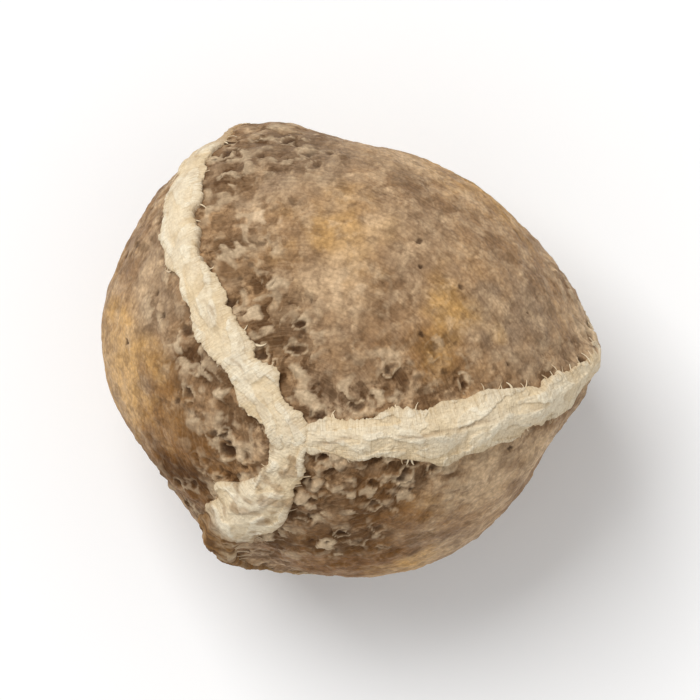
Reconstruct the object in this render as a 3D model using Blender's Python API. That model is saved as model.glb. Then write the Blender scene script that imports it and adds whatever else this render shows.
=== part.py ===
# A moringa seed with its three papery wings torn off: three domed brown faces, and between them the ragged
# cream stumps of the wings, which run from pole to pole and meet in a Y at each.
# The seed is shaped upright about its own axis, in millimetres, by a radius for every direction. It is then
# tipped as it lies and cut flat where it rests.

import math

import bmesh
import bpy
from mathutils import Matrix, Vector, noise

MM = 0.001

# Driving dimensions, in millimetres and degrees. Stumps go anticlockwise round the upper pole, and a face is
# listed with the stump before it.
STUMP_AZIMUTHS = (125.6, 255.0, 362.6)
STUMP_BOWS = (3.3, -23.2, -2.1)  # sideways swing of each stump between pole and waist
STUMP_REACHES = (5.88, 5.29, 5.15)  # from the axis to the coat below the stump, at the waist
STUMP_WIDTHS = ((0.78, 0.62, 0.88), (0.62, 1.30, 0.55), (0.36, 0.97, 0.42))  # across the top: pole, middle, waist
STUMP_MIDDLES = (50.0, 30.0, 44.0)  # how far from a pole the middle width is, in degrees
STUMP_HEIGHTS = (0.20, 0.26, 0.26)  # at the middle width
STUMP_HOLLOWS = (0.04, 0.14, 0.05)  # depth of the coat's hollow beside each stump
STUMP_BANK = 0.16  # width of a stump's steep side
HOLLOW_SPREAD = 1.7
FACE_FULLNESS = (1.01, 0.857, 0.838)  # reach of mid-face, as a share of the stumps' reach
UPPER_POLE = 4.71
LOWER_POLE = 5.32
LOWER_TAPER = 0.05  # how much the lower half is slimmer than an ellipsoid

RAGGED_PITCH = 0.75  # spacing of the tears along a stump
RAGGED_WIDTH = 0.45  # share of a stump's half width that the tears take or add
RAGGED_HEIGHT = 0.5

LUMP_SIZE = 1.1
LUMP_HEIGHT = 0.10
PEBBLE_SIZE = 0.5
PEBBLE_HEIGHT = 0.05
ROUGH_REACH = 1.9  # how far from a stump the coat stays roughest
SMOOTH_SHARE = 0.45  # lump height left in mid-face

SWELLS = (  # the coat's broad bulges and dents: polar angle, azimuth, radius and height
    (70.0, 208.0, 2.0, -0.27),
    (76.0, 172.0, 2.4, 0.17),
    (82.0, 253.0, 1.8, -0.15),
    (83.0, 291.0, 2.4, 0.11),
    (90.0, 335.0, 1.8, -0.20),
    (98.0, 359.0, 1.8, 0.16),
    (114.0, 52.0, 2.6, 0.12),
    (109.0, 97.0, 1.8, -0.17),
    (107.0, 117.0, 1.4, 0.22),
)

SCAR_RADIUS = 0.55  # the pale knob at the lower pole, where the seed hung
SCAR_HEIGHT = 0.12

TIP_ANGLE = 28.2  # the upper pole leans this far from straight up
TIP_AZIMUTH = 227.1
REST_DEPTH = 0.26  # depth of the flat spot that the seed rests on
WORN_ANGLES = (16.0, 34.0)  # a stump is worn flush within the first angle of the resting point

COLUMNS_PER_FACE = 26
RINGS = 56
WIDEST_STUMP_SHARE = 0.42  # most of a face's arc that the points of one stump may take
MEAN_RADIUS = 5.3


def smooth_step(low, high, value):
    share = min(max((value - low) / (high - low), 0.0), 1.0)
    return share * share * (3.0 - 2.0 * share)


def direction(polar, azimuth):
    flat = math.sin(polar)
    return Vector((flat * math.cos(azimuth), flat * math.sin(azimuth), math.cos(polar)))


def stump_azimuth(stump, polar):
    return math.radians(STUMP_AZIMUTHS[stump] + STUMP_BOWS[stump] * math.sin(2.0 * polar))


def face_span(face, polar):
    start = stump_azimuth(face, polar)
    return start, (stump_azimuth((face + 1) % 3, polar) - start) % math.tau


def face_at(polar, azimuth):
    # the face that a direction falls on, and the share of the way across it
    for face in range(3):
        start, gap = face_span(face, polar)
        along = (azimuth - start) % math.tau
        if along <= gap + 1e-9:
            return face, min(along / gap, 1.0)
    return 0, 0.0


def coat_radius(polar, azimuth):
    # Each face is part of a ball whose centre lies across the axis, so that two faces meet at an angle.
    face, share = face_at(polar, azimuth)
    fullness = FACE_FULLNESS[face]
    offset = (1.0 - fullness * fullness) / (2.0 * fullness - 1.0)
    ball = fullness + offset

    def ball_reach(angle):
        side = math.sin(polar) * math.cos(angle)
        return math.sqrt(ball * ball - offset * offset * (1.0 - side * side)) - offset * side

    corner = math.radians(60.0)
    dome = ball_reach((2.0 * share - 1.0) * corner) / ball_reach(corner)
    blend = 0.5 - 0.5 * math.cos(math.pi * share)
    reach = STUMP_REACHES[face] * (1.0 - blend) + STUMP_REACHES[(face + 1) % 3] * blend
    upper = math.cos(polar) > 0.0
    pole = UPPER_POLE if upper else LOWER_POLE
    hull = 1.0 / math.hypot(math.sin(polar) / reach, math.cos(polar) / pole)
    slim = 0.0 if upper else LOWER_TAPER * math.sin(2.0 * polar) ** 2
    return hull * dome * (1.0 - slim)


def ragged(stump, lane, polar):
    along = polar * MEAN_RADIUS / RAGGED_PITCH
    return noise.noise(Vector((along, 7.3 * stump + 2.1 * lane, 0.5)))


def stump_width(stump, polar):
    # blended from pole to middle to waist, and the same below the waist
    at_pole, at_middle, at_waist = STUMP_WIDTHS[stump]
    middle = STUMP_MIDDLES[stump]
    angle = math.degrees(min(polar, math.pi - polar))
    if angle < middle:
        return at_pole + (at_middle - at_pole) * smooth_step(0.0, middle, angle)
    return at_middle + (at_waist - at_middle) * smooth_step(middle, 90.0, angle)


def stump_half_width(stump, side, polar):
    return 0.5 * stump_width(stump, polar) * (1.0 + RAGGED_WIDTH * ragged(stump, side, polar))


def stump_height(stump, polar):
    # lower where the stump is narrow
    share = min(stump_width(stump, polar) / STUMP_WIDTHS[stump][1], 1.0)
    return share * STUMP_HEIGHTS[stump] * (1.0 + RAGGED_HEIGHT * ragged(stump, 2, polar))


def stump_offset(stump, polar, azimuth):
    # distance from the stump's middle line, and which side of it
    swing = (azimuth - stump_azimuth(stump, polar) + math.pi) % math.tau - math.pi
    turn = min(abs(swing), 0.5 * math.pi)
    return MEAN_RADIUS * math.sin(polar) * math.sin(turn), int(swing > 0.0)


def worn_share(polar, azimuth):
    rest = direction(math.pi - math.radians(TIP_ANGLE), math.radians(TIP_AZIMUTH))
    angle = math.degrees(rest.angle(direction(polar, azimuth)))
    return smooth_step(*WORN_ANGLES, angle)


def stump_relief(polar, azimuth):
    # height of the stumps over the coat, less the hollows beside them
    height = 0.0
    hollow = 0.0
    for stump in range(3):
        offset, side = stump_offset(stump, polar, azimuth)
        half = stump_half_width(stump, side, polar)
        foot = half + STUMP_BANK
        height = max(height, stump_height(stump, polar) * (1.0 - smooth_step(half, foot, offset)))
        beside = smooth_step(half, foot, offset) * (1.0 - smooth_step(foot, foot + HOLLOW_SPREAD, offset))
        hollow = max(hollow, STUMP_HOLLOWS[stump] * beside)
    return (height - hollow * math.sin(polar)) * worn_share(polar, azimuth)


def coat_lumps(polar, azimuth):
    spot = MEAN_RADIUS * direction(polar, azimuth)
    nearest = min(stump_offset(stump, polar, azimuth)[0] for stump in range(3))
    rough = SMOOTH_SHARE + (1.0 - SMOOTH_SHARE) * (1.0 - smooth_step(0.0, ROUGH_REACH, nearest))
    lumps = LUMP_HEIGHT * noise.noise(spot / LUMP_SIZE)
    pebbles = PEBBLE_HEIGHT * noise.noise(spot / PEBBLE_SIZE)
    return rough * (lumps + pebbles)


def swell_height(polar, azimuth):
    spot = direction(polar, azimuth)
    height = 0.0
    for middle_polar, middle_azimuth, radius, depth in SWELLS:
        middle = direction(math.radians(middle_polar), math.radians(middle_azimuth))
        away = MEAN_RADIUS * spot.angle(middle)
        height += depth * (1.0 - smooth_step(0.0, radius, away))
    return height


def scar_height(polar):
    away = MEAN_RADIUS * (math.pi - polar)
    return SCAR_HEIGHT * (1.0 - smooth_step(0.5 * SCAR_RADIUS, SCAR_RADIUS, away))


def surface_point(polar, azimuth):
    radius = coat_radius(polar, azimuth) + stump_relief(polar, azimuth)
    radius += swell_height(polar, azimuth) + coat_lumps(polar, azimuth) + scar_height(polar)
    return MM * radius * direction(polar, azimuth)


def edge_shares(stump, side, polar, arc):
    # where a stump's ragged top edge and its foot cross a face's arc, closed up where the arc is short
    half = stump_half_width(stump, side, polar)
    foot = half + STUMP_BANK
    fit = min(1.0, WIDEST_STUMP_SHARE * arc / foot)
    return [fit * offset / arc for offset in (0.0, half, foot)]


def column_azimuth(column, polar):
    face, step = divmod(column, COLUMNS_PER_FACE)
    start, gap = face_span(face, polar)
    arc = MEAN_RADIUS * math.sin(polar) * gap
    near = edge_shares(face, 1, polar, arc)
    far = edge_shares((face + 1) % 3, 0, polar, arc)
    edges = len(near) - 1
    steps_left = COLUMNS_PER_FACE - step
    if step <= edges:
        share = near[step]
    elif steps_left <= edges:
        share = 1.0 - far[steps_left]
    else:
        across = (step - edges) / (COLUMNS_PER_FACE - 2 * edges)
        share = near[edges] * (1.0 - across) + (1.0 - far[edges]) * across
    return start + gap * share


def shaped_ball():
    # a UV sphere, whose first column is on +Y, with its columns of points moved to follow the stumps
    mesh = bmesh.new()
    columns = 3 * COLUMNS_PER_FACE
    bmesh.ops.create_uvsphere(mesh, u_segments=columns, v_segments=RINGS, radius=1.0)
    for vertex in mesh.verts:
        polar = math.acos(min(max(vertex.co.z, -1.0), 1.0))
        azimuth = 0.0
        if math.sin(polar) > 1e-4:
            turn = math.atan2(-vertex.co.x, vertex.co.y) / math.tau
            azimuth = column_azimuth(round(turn * columns) % columns, polar)
        vertex.co = surface_point(polar, azimuth)
    return mesh


def tip_and_cut(mesh):
    # The seed leans as it lies in the heap, and its lowest part is cut to a level spot.
    lean = Vector((-math.sin(math.radians(TIP_AZIMUTH)), math.cos(math.radians(TIP_AZIMUTH)), 0.0))
    mesh.transform(Matrix.Rotation(math.radians(TIP_ANGLE), 4, lean))
    level = min(vertex.co.z for vertex in mesh.verts) + REST_DEPTH * MM
    everything = mesh.verts[:] + mesh.edges[:] + mesh.faces[:]
    cut = bmesh.ops.bisect_plane(
        mesh,
        geom=everything,
        dist=1e-7,
        plane_co=(0.0, 0.0, level),
        plane_no=(0.0, 0.0, -1.0),
        clear_outer=True,
    )
    rim = [item for item in cut["geom_cut"] if isinstance(item, bmesh.types.BMEdge)]
    bmesh.ops.contextual_create(mesh, geom=rim)
    bmesh.ops.recalc_face_normals(mesh, faces=mesh.faces[:])


def centre_on_floor(mesh):
    # origin on the floor, below the middle of the seed's box
    low = [min(vertex.co[axis] for vertex in mesh.verts) for axis in range(3)]
    high = [max(vertex.co[axis] for vertex in mesh.verts) for axis in range(3)]
    middle = Vector(((low[0] + high[0]) / 2.0, (low[1] + high[1]) / 2.0, low[2]))
    bmesh.ops.translate(mesh, verts=mesh.verts[:], vec=-middle)


def coat_material():
    material = bpy.data.materials.new("seed_coat")
    material.use_nodes = True
    shader = material.node_tree.nodes["Principled BSDF"]
    shader.inputs["Base Color"].default_value = (0.30, 0.20, 0.12, 1.0)
    shader.inputs["Roughness"].default_value = 0.75
    shader.inputs["Metallic"].default_value = 0.0
    return material


def moringa_seed(collection):
    shape = shaped_ball()
    tip_and_cut(shape)
    centre_on_floor(shape)
    mesh = bpy.data.meshes.new("moringa_seed")
    shape.to_mesh(mesh)
    shape.free()
    mesh.materials.append(coat_material())
    mesh.shade_smooth()
    seed = bpy.data.objects.new("moringa_seed", mesh)
    collection.objects.link(seed)
    return seed


def main():
    for leftover in list(bpy.data.objects):
        bpy.data.objects.remove(leftover)
    collection = bpy.data.collections.new("moringa_seed")
    bpy.context.scene.collection.children.link(collection)
    moringa_seed(collection)


main()
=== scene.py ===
import math

import bpy
import numpy as np
from mathutils import Matrix, Vector, noise


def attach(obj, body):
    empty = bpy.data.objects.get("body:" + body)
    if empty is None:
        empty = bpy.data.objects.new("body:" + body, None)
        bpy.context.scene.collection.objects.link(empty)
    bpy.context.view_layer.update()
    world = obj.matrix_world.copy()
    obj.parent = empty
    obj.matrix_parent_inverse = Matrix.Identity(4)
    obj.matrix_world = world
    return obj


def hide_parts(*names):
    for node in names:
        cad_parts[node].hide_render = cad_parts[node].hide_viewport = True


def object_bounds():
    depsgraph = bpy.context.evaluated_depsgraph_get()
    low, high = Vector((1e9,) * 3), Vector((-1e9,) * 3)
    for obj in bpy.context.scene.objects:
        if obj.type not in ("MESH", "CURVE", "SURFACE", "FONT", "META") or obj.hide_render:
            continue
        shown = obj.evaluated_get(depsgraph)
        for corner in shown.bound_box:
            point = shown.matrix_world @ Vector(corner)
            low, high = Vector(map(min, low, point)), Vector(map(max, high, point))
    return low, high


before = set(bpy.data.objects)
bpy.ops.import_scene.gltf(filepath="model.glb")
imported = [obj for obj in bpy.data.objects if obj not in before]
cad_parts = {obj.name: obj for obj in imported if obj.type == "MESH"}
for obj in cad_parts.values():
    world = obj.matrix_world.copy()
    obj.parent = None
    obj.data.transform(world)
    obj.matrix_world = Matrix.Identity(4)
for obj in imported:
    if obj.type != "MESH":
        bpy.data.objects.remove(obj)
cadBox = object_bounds()

mm = 0.001
tau = 2.0 * math.pi

# The seed's form, with the solid's main values. Stumps go anticlockwise round the upper pole, and a face
# is listed with the stump before it. Lengths are in millimetres and angles in degrees.
seedForm = {
    "stumpAzimuths": (125.6, 255.0, 362.6),
    "stumpBows": (3.3, -23.2, -2.1),  # sideways swing between pole and waist
    "stumpReaches": (5.88, 5.29, 5.15),
    "stumpHollows": (0.04, 0.14, 0.05),
    "hollowStart": 0.55,
    "hollowSpread": 1.7,
    "faceFullness": (1.01, 0.857, 0.838),  # reach of mid-face, as a share of the stumps' reach
    "upperPole": 4.71,
    "lowerPole": 5.32,
    "lowerTaper": 0.05,  # how much the lower half is slimmer than an ellipsoid
    "meanRadius": 5.3,
    "tipAngle": 28.2,
    "tipAzimuth": 227.1,
    "wornAngles": (16.0, 34.0),  # from the resting point, between worn flush and unworn
    "restDepth": 0.26,
    # broad bulges and dents: polar angle, azimuth, radius and height. The last two are the coat's alone.
    "swells": (
        (70.0, 208.0, 2.0, -0.27),
        (76.0, 172.0, 2.4, 0.17),
        (82.0, 253.0, 1.8, -0.15),
        (83.0, 291.0, 2.4, 0.11),
        (90.0, 335.0, 1.8, -0.20),
        (98.0, 359.0, 1.8, 0.16),
        (114.0, 52.0, 2.6, 0.12),
        (109.0, 97.0, 1.8, -0.17),
        (107.0, 117.0, 1.4, 0.22),
        (118.0, 20.0, 2.2, 0.15),
        (107.0, 3.0, 1.0, -0.12),
    ),
}


def smoothStep(low, high, value):
    share = np.clip((value - low) / (high - low), 0.0, 1.0)
    return share * share * (3.0 - 2.0 * share)


def roundSpot(away, radius, flat):
    # 1 over a spot's flat middle, which is a share of its radius, falling to 0 at its edge
    return 1.0 - smoothStep(flat * radius, radius, away)


def noiseAt(points, size, shift=0.0):
    # Perlin noise at each point, with features about as large as size
    scaled = (points / size + shift).tolist()
    return np.fromiter((noise.noise(p) for p in scaled), float, len(scaled))


def cellsAt(points, size, shift=0.0):
    # distance to the nearest point of a cell pattern and the gap to the next, in cell sizes, and a fixed
    # chance from 0 to 1 for each cell
    scaled = (points / size + shift).tolist()
    found = np.empty((len(scaled), 5))
    for index, place in enumerate(scaled):
        distances, centres = noise.voronoi(place)
        found[index] = (distances[0], distances[1], *centres[0])
    shuffle = np.array((12.9, 78.2, 37.7))
    spread = 437.5
    chance = np.abs(np.sin(found[:, 2:] @ shuffle) * spread) % 1.0
    return found[:, 0], found[:, 1] - found[:, 0], chance


def directionAt(polar, azimuth):
    flat = np.sin(polar)
    return np.stack([flat * np.cos(azimuth), flat * np.sin(azimuth), np.cos(polar)], axis=-1)


def anglesOf(directions):
    polar = np.arccos(np.clip(directions[:, 2], -1.0, 1.0))
    return polar, np.arctan2(directions[:, 1], directions[:, 0])


def stumpAzimuth(stump, polar):
    degrees = seedForm["stumpAzimuths"][stump] + seedForm["stumpBows"][stump] * np.sin(2.0 * polar)
    return np.radians(degrees)


def ballReach(fullness, polar, angle):
    # reach of a face that is part of a ball whose centre lies across the axis
    offset = (1.0 - fullness * fullness) / (2.0 * fullness - 1.0)
    ball = fullness + offset
    side = np.sin(polar) * np.cos(angle)
    return np.sqrt(ball * ball - offset * offset * (1.0 - side * side)) - offset * side


def bareRadius(polar, azimuth):
    # three domed faces between the stumps, without hollows, swells or lumps
    radius = np.zeros_like(polar)
    corner = math.radians(60.0)
    for face in range(3):
        following = (face + 1) % 3
        start = stumpAzimuth(face, polar)
        gap = (stumpAzimuth(following, polar) - start) % tau
        along = (azimuth - start) % tau
        share = np.clip(along / gap, 0.0, 1.0)
        fullness = seedForm["faceFullness"][face]
        dome = ballReach(fullness, polar, (2.0 * share - 1.0) * corner) / ballReach(fullness, polar, corner)
        blend = 0.5 - 0.5 * np.cos(math.pi * share)
        reaches = seedForm["stumpReaches"]
        reach = reaches[face] * (1.0 - blend) + reaches[following] * blend
        pole = np.where(np.cos(polar) > 0.0, seedForm["upperPole"], seedForm["lowerPole"])
        hull = 1.0 / np.hypot(np.sin(polar) / reach, np.cos(polar) / pole)
        radius = np.where(along <= gap + 1e-9, hull * dome, radius)
    slim = np.where(np.cos(polar) > 0.0, 0.0, seedForm["lowerTaper"] * np.sin(2.0 * polar) ** 2)
    return radius * (1.0 - slim)


def stumpOffset(stump, polar, azimuth):
    # distance from a stump's middle line, negative on the side that comes first
    swing = (azimuth - stumpAzimuth(stump, polar) + math.pi) % tau - math.pi
    turn = np.minimum(np.abs(swing), 0.5 * math.pi)
    return seedForm["meanRadius"] * np.sin(polar) * np.sin(turn) * np.sign(swing)


def wornShare(directions):
    # 0 where the seed rests, rising to 1 away from there
    restPolar = np.array([math.pi - math.radians(seedForm["tipAngle"])])
    restAzimuth = np.array([math.radians(seedForm["tipAzimuth"])])
    towards = directions @ directionAt(restPolar, restAzimuth)[0]
    return smoothStep(*seedForm["wornAngles"], np.degrees(np.arccos(np.clip(towards, -1.0, 1.0))))


def awayFrom(directions, polar, azimuth):
    # distance over the seed from one place, in millimetres
    middle = directionAt(np.radians([polar]), np.radians([azimuth]))[0]
    return seedForm["meanRadius"] * np.arccos(np.clip(directions @ middle, -1.0, 1.0))


def swellHeight(directions):
    height = np.zeros(len(directions))
    for polar, azimuth, radius, swell in seedForm["swells"]:
        height += swell * roundSpot(awayFrom(directions, polar, azimuth), radius, 0.0)
    return height


def formRadius(directions):
    # the coat's smooth form with the hollows beside the stumps, and the distance to the nearest stump
    polar, azimuth = anglesOf(directions)
    radius = bareRadius(polar, azimuth)
    start = seedForm["hollowStart"]
    end = start + seedForm["hollowSpread"]
    nearest = np.full(len(polar), np.inf)
    hollow = np.zeros(len(polar))
    for stump in range(3):
        offset = np.abs(stumpOffset(stump, polar, azimuth))
        nearest = np.minimum(nearest, offset)
        beside = smoothStep(0.5 * start, start, offset) * (1.0 - smoothStep(start, end, offset))
        hollow = np.maximum(hollow, seedForm["stumpHollows"][stump] * beside)
    radius += swellHeight(directions) - hollow * np.sin(polar) * wornShare(directions)
    return radius, nearest


coatRelief = {
    "divisions": 7,  # of the cube that gives the coat its points
    "lumpSize": 1.1,
    "lumpHeight": 0.10,
    "pebbleSize": 0.5,
    "pebbleHeight": 0.05,
    "roughReach": 1.9,  # the low lumps are highest this near a stump
    "smoothShare": 0.45,
    "marginStart": 0.35,  # the pitted zone beside a stump fades from this far out,
    "marginReach": 2.3,  # over this distance
    "marginWander": 0.7,
    "marginShares": (0.50, 0.45, 0.75),  # its strength, and what a pole and a dusky patch add
    "poleSpread": 42.0,
    "patchySize": 0.7,
    "patchyLeast": 0.55,
    "calmShare": 0.8,  # roughness that a smooth patch takes away
    "leastRough": 0.12,
    "roughGain": 0.97,
    "warpSizes": (0.3, 0.16),  # broad and fine wandering of what follows
    "knotSize": 0.38,
    "knotBend": 0.16,
    "knotHeight": 0.075,
    "granuleSize": 0.47,
    "granuleBends": (0.18, 0.07),
    "granuleWidth": 0.7,  # share of a cell
    "granuleHeight": 0.08,
    "granuleLevel": 0.45,  # this and the next two are shares of a granule's height
    "gapDepth": 0.35,
    "rimHeight": 0.5,
    "gapWidth": 0.16,
    "pitShare": 0.30,  # share of the cells that are pits
    "pitWidths": (0.34, 0.45),  # the least, and what chance adds
    "pitFloor": 0.45,
    "pitDepth": 0.07,
    "rimOffset": 0.05,
    "rimWidth": 0.10,
    "speckShare": 0.24,  # share of the cells that are pale specks
    "speckHeight": 0.02,
    "cellSoftness": 0.02,
    "pinholeSize": 0.22,
    "pinholeBend": 0.08,
    "pinholeShare": 0.22,
    "pinholeWidths": (0.25, 0.8),
    "pinholeFloor": 0.4,
    "pinholeDepth": 0.05,
    "poreSize": 0.75,  # spacing of the lone pores on the smooth coat
    "poreBend": 0.05,
    "poreFree": 0.45,  # share of the cells without a pore
    "poreWidth": 0.11,
    "poreFloor": 0.5,
    "poreDepth": 0.05,
    "leatherSize": 0.27,
    "leatherHeight": 0.022,
    "crumbSize": 0.14,
    "crumbHeight": 0.035,
    "streakLength": 0.9,
    "streakWidth": 0.14,
    "streakWander": 0.10,
    "streakHeight": 0.010,
    "scarRadius": 0.55,
    "scarFloor": 0.5,
    "scarHeight": 0.12,
}


def roughShare(nearest):
    values = coatRelief
    near = 1.0 - smoothStep(0.0, values["roughReach"], nearest)
    return values["smoothShare"] + (1.0 - values["smoothShare"]) * near


def lowLumps(directions, nearest):
    # the broad lumps that the solid has too
    values = coatRelief
    spots = directions * seedForm["meanRadius"]
    lumps = values["lumpHeight"] * noiseAt(spots, values["lumpSize"])
    lumps += values["pebbleHeight"] * noiseAt(spots, values["pebbleSize"])
    return lumps * roughShare(nearest)


def coatSurface(directions):
    # radius of the coat without its fine relief, and the distance to the nearest stump
    radius, nearest = formRadius(directions)
    return radius + lowLumps(directions, nearest), nearest


def tipMatrix():
    azimuth = math.radians(seedForm["tipAzimuth"])
    lean = Vector((-math.sin(azimuth), math.cos(azimuth), 0.0))
    return np.array(Matrix.Rotation(math.radians(seedForm["tipAngle"]), 3, lean))


tipping = tipMatrix()


def seatedOffset():
    # how far the tipped form moves, so that its box and its resting level are the solid's
    poleGap = 0.02
    rings = 160
    polars = np.linspace(poleGap, math.pi - poleGap, rings)
    polar, azimuth = np.meshgrid(polars, np.linspace(0.0, tau, 2 * rings))
    directions = directionAt(polar.ravel(), azimuth.ravel())
    radius, _ = coatSurface(directions)
    points = (directions * radius[:, None]) @ tipping.T
    low = points.min(axis=0)
    high = points.max(axis=0)
    boxLow = np.array(cadBox[0]) / mm
    boxHigh = np.array(cadBox[1]) / mm
    move = (boxLow + boxHigh) / 2.0 - (low + high) / 2.0
    move[2] = -(low[2] + seedForm["restDepth"])
    return move


seatMove = seatedOffset()


def setDown(points):
    # from the seed's own upright frame in millimetres to the scene in metres, flat where it rests
    placed = points @ tipping.T + seatMove
    placed[:, 2] = np.maximum(placed[:, 2], 0.0)
    return placed * mm


print("form seated, moved by", np.round(seatMove, 3), "mm")


def meshFrom(points, faces):
    mesh = bpy.data.meshes.new("piece")
    mesh.from_pydata(setDown(points).tolist(), [], faces)
    return mesh


def tubeFaces(rows, around, first=0):
    # faces of a tube of rows of points, closed at both ends
    faces = []
    for row in range(rows - 1):
        start = first + row * around
        for step in range(around):
            following = (step + 1) % around
            faces.append((start + step, start + around + step, start + around + following, start + following))
    last = first + (rows - 1) * around
    faces.append(tuple(range(first, first + around)))
    faces.append(tuple(reversed(range(last, last + around))))
    return faces


def addPiece(name, mesh, marks, material):
    # a mesh as a piece of the seed, with the named values on its points that its material reads
    mesh.name = name
    for mark, numbers in marks.items():
        attribute = mesh.attributes.new(mark, "FLOAT", "POINT")
        attribute.data.foreach_set("value", np.asarray(numbers, np.float32))
    mesh.update()
    mesh.shade_smooth()
    mesh.materials.append(material)
    piece = bpy.data.objects.new(name, mesh)
    bpy.context.scene.collection.objects.link(piece)
    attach(piece, "root")
    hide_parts("moringa_seed")


# Patches of each face's colour: polar angle, azimuth, radius in millimetres and strength
coatPatches = {
    "golden": (
        (58.0, 82.0, 1.6, 0.55),
        (52.0, 76.0, 1.2, 0.3),
        (60.0, 36.0, 1.1, 0.65),
        (46.0, 30.0, 0.8, 0.4),
        # this golden patch is partly real colour and partly painted light that lifts the left face
        (61.0, 173.0, 2.0, 1.0),
        (40.0, 176.0, 1.0, 0.15),
        (43.0, 322.0, 0.7, 0.3),
        (70.0, 290.0, 1.3, 0.9),
        (100.0, 190.0, 2.4, 0.8),
        (120.0, 60.0, 2.6, 0.7),
        (112.0, 308.0, 2.2, 0.7),
    ),
    "amber": (
        # this one, (50, 278) and (43, 203) are partly real colour, deepened on the lower rim and the left
        # face's lower corner as painted shade
        (54.0, 275.0, 2.2, 1.0),
        (32.0, 308.0, 1.9, 0.7),
        (50.0, 278.0, 1.3, 1.0),
        (58.0, 262.0, 1.2, 0.9),
        (34.0, 196.0, 1.5, 0.9),
        (43.0, 203.0, 1.4, 1.0),
        (45.0, 183.0, 1.5, 0.85),
        (48.0, 321.0, 0.9, 0.8),
        (45.0, 26.0, 0.8, 0.5),
        (45.0, 32.0, 1.1, 0.6),
        (46.0, 165.0, 1.0, 0.5),
        (108.0, 150.0, 2.2, 0.7),
        (128.0, 285.0, 2.0, 0.6),
        (136.0, 65.0, 1.8, 0.6),
    ),
    "dusky": (
        # this one deepens the left face's lower corner: partly real colour, partly painted shade
        (44.0, 205.0, 1.7, 1.0),
        (58.0, 205.0, 1.4, 0.8),
        (44.0, 182.0, 1.0, 0.3),
        (41.0, 252.0, 0.8, 0.9),
        (75.0, 115.0, 1.1, 0.75),
        (87.0, 71.0, 1.0, 0.55),
        (49.0, 320.0, 0.8, 0.35),
        (60.0, 37.0, 1.1, 0.15),
        (45.5, 26.0, 0.8, 0.2),
        (53.0, 116.5, 0.65, 0.95),
        (19.0, 164.0, 0.65, 0.95),
        (39.0, 154.0, 0.65, 0.95),
        (28.0, 113.0, 0.65, 0.9),
        (35.0, 335.5, 0.75, 0.9),
        (12.0, 72.5, 0.5, 0.8),
        (14.0, 186.0, 0.4, 0.8),
        (37.0, 107.5, 0.6, 0.65),
        (24.0, 318.0, 0.6, 0.8),
        (39.0, 14.5, 0.6, 0.8),
        (31.0, 175.0, 0.6, 0.8),
        (46.0, 339.0, 0.6, 0.8),
        (46.5, 17.0, 0.5, 0.7),
        (68.0, 119.0, 0.5, 0.8),
        (47.0, 114.0, 1.1, 0.8),
        (29.0, 97.0, 1.3, 0.8),
        (22.0, 60.0, 1.1, 0.3),
        (34.0, 30.0, 1.0, 0.45),
        (32.0, 150.0, 1.2, 0.9),
        (30.0, 192.0, 1.3, 0.7),
        (27.0, 304.0, 1.7, 0.85),
        (46.0, 58.0, 1.3, 0.32),
        (42.0, 283.0, 1.8, 0.9),
        (85.0, 108.0, 1.8, 0.7),
        (140.0, 330.0, 2.2, 0.6),
        (138.0, 90.0, 2.0, 0.6),
        (125.0, 160.0, 1.6, 0.6),
    ),
    "ashen": (
        (85.0, 100.0, 2.2, 0.9),
        (76.0, 22.0, 2.1, 1.0),
        (16.0, 54.0, 1.3, 0.9),
        (30.0, 80.0, 1.2, 0.5),
        (57.0, 141.0, 1.1, 0.8),
        (70.0, 60.0, 1.8, 0.5),
        (52.0, 146.0, 1.4, 0.9),
        (130.0, 30.0, 2.4, 0.7),
        (112.0, 220.0, 2.0, 0.6),
        (90.0, 285.0, 2.0, 0.5),
    ),
    "smooth": (
        (76.0, 24.0, 2.0, 1.0),
        (13.0, 205.0, 0.6, 0.7),
        (43.0, 206.0, 1.3, 0.95),
        (59.0, 339.0, 1.7, 0.8),
        (80.0, 345.0, 1.6, 0.9),
        (82.0, 62.0, 2.6, 1.0),
        (62.0, 50.0, 1.6, 0.6),
        (57.0, 143.0, 1.3, 0.8),
        (60.0, 174.0, 2.0, 0.7),
        (44.0, 196.0, 1.8, 0.8),
        (72.0, 292.0, 1.6, 0.6),
        (112.0, 180.0, 2.2, 0.7),
        (118.0, 310.0, 2.0, 0.6),
    ),
    "flecked": (
        (62.0, 107.0, 0.8, 0.9),
        (13.0, 46.0, 0.7, 0.9),
        (18.0, 204.0, 0.8, 1.0),
        (37.0, 148.0, 0.6, 0.7),
        (33.0, 331.0, 0.9, 0.7),
        (44.0, 74.0, 0.6, 0.5),
        (95.0, 135.0, 1.0, 0.8),
        (110.0, 20.0, 1.2, 0.8),
        (130.0, 240.0, 1.4, 0.8),
    ),
    "bleachedAndLit": (
        (12.0, 203.0, 0.5, 1.0),
        (63.0, 108.0, 0.4, 1.0),
        (54.0, 109.0, 0.3, 0.9),
        (98.0, 79.0, 1.3, 0.7),
        (46.0, 81.0, 1.0, 0.8),
        (66.0, 72.0, 1.2, 0.5),
        (44.0, 72.0, 0.7, 0.5),
        (57.0, 84.0, 1.2, 0.08),
        # this one lifts the left face's colour to stand in for light: painted light
        (60.0, 172.0, 1.4, 0.4),
        (74.0, 168.0, 1.6, 0.3),
        (100.0, 6.0, 1.4, 0.9),
        (56.0, 146.0, 1.0, 0.4),
        # these three lift the colour of the right side, which faces away from the key light: painted light
        (59.0, 337.0, 1.9, 1.0),
        (62.0, 352.0, 1.0, 0.8),
        (79.0, 341.0, 1.6, 1.0),
        (76.0, 300.0, 1.5, 0.5),
        (118.0, 120.0, 1.5, 0.5),
    ),
}


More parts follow.
